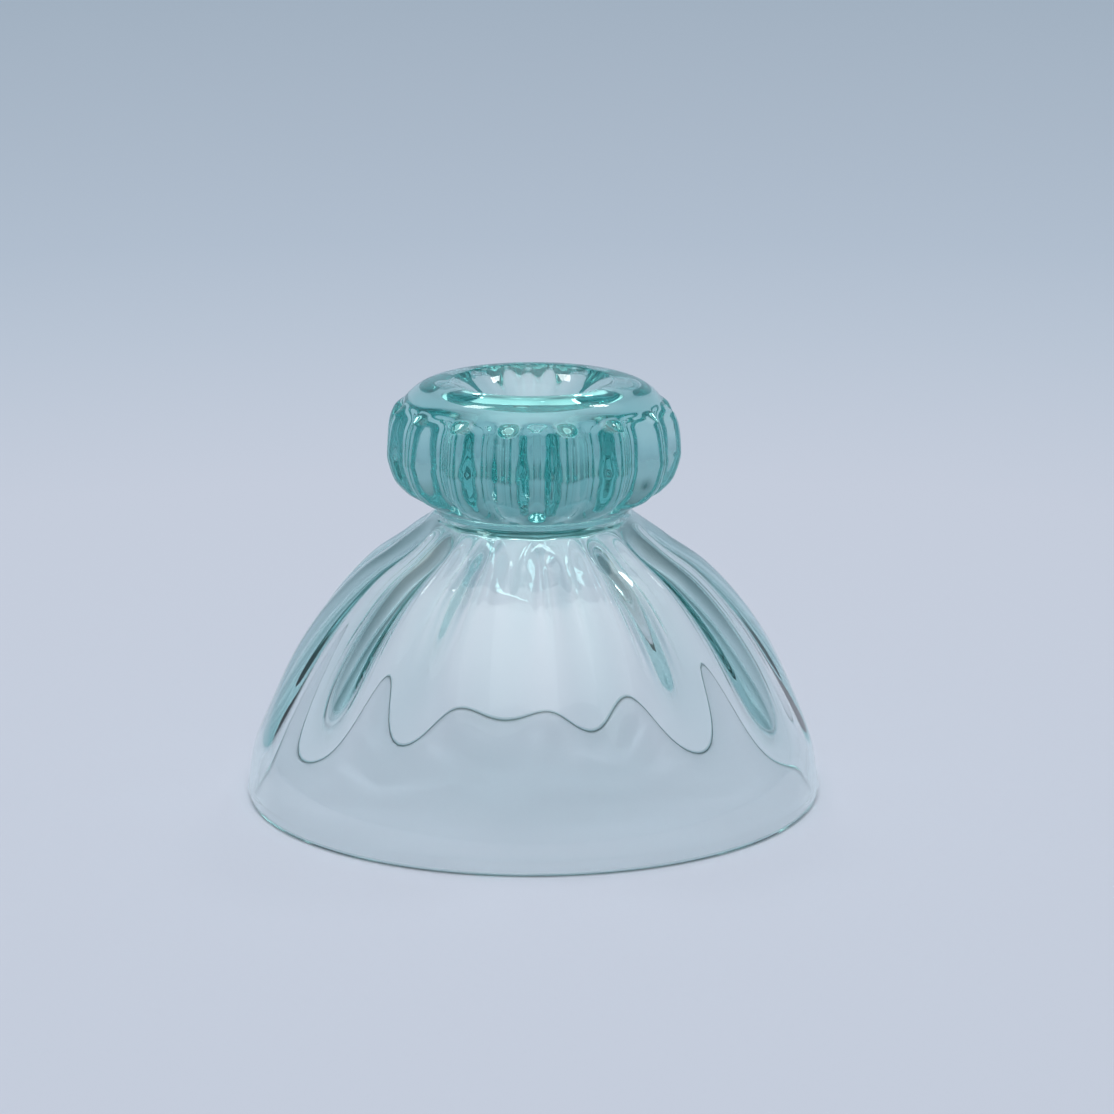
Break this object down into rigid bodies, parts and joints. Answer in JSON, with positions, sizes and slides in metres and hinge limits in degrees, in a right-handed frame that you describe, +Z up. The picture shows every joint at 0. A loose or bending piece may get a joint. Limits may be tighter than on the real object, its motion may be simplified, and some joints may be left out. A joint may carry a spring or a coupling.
{
  "type": "glass bell with ring crown",
  "caption": "Thin ribbed aqua glass bell on its open rim, joined by a narrow neck to a thick lobed ring crown with a funnel-shaped dimple: an insulator-like shell or an upturned footed bowl.",
  "frame": {"origin": "on the object's axis, in the plane that its open rim stands on", "axes": "+Z up along the axis, from the rim through the neck to the crown; X and Y in the rim's plane"},
  "size_m": [0.1394, 0.1394, 0.1015],
  "materials": {
    "bell_glass": "fire-polished, clear pale aqua, thin wall",
    "crown_glass": "fire-polished, the same aqua glass where it is thick and so deeper in colour"
  },
  "bodies": {
    "root": {"bell_shell": "bell_glass", "neck_wafer": "crown_glass", "crown_ring": "crown_glass"}
  },
  "joints": []
}
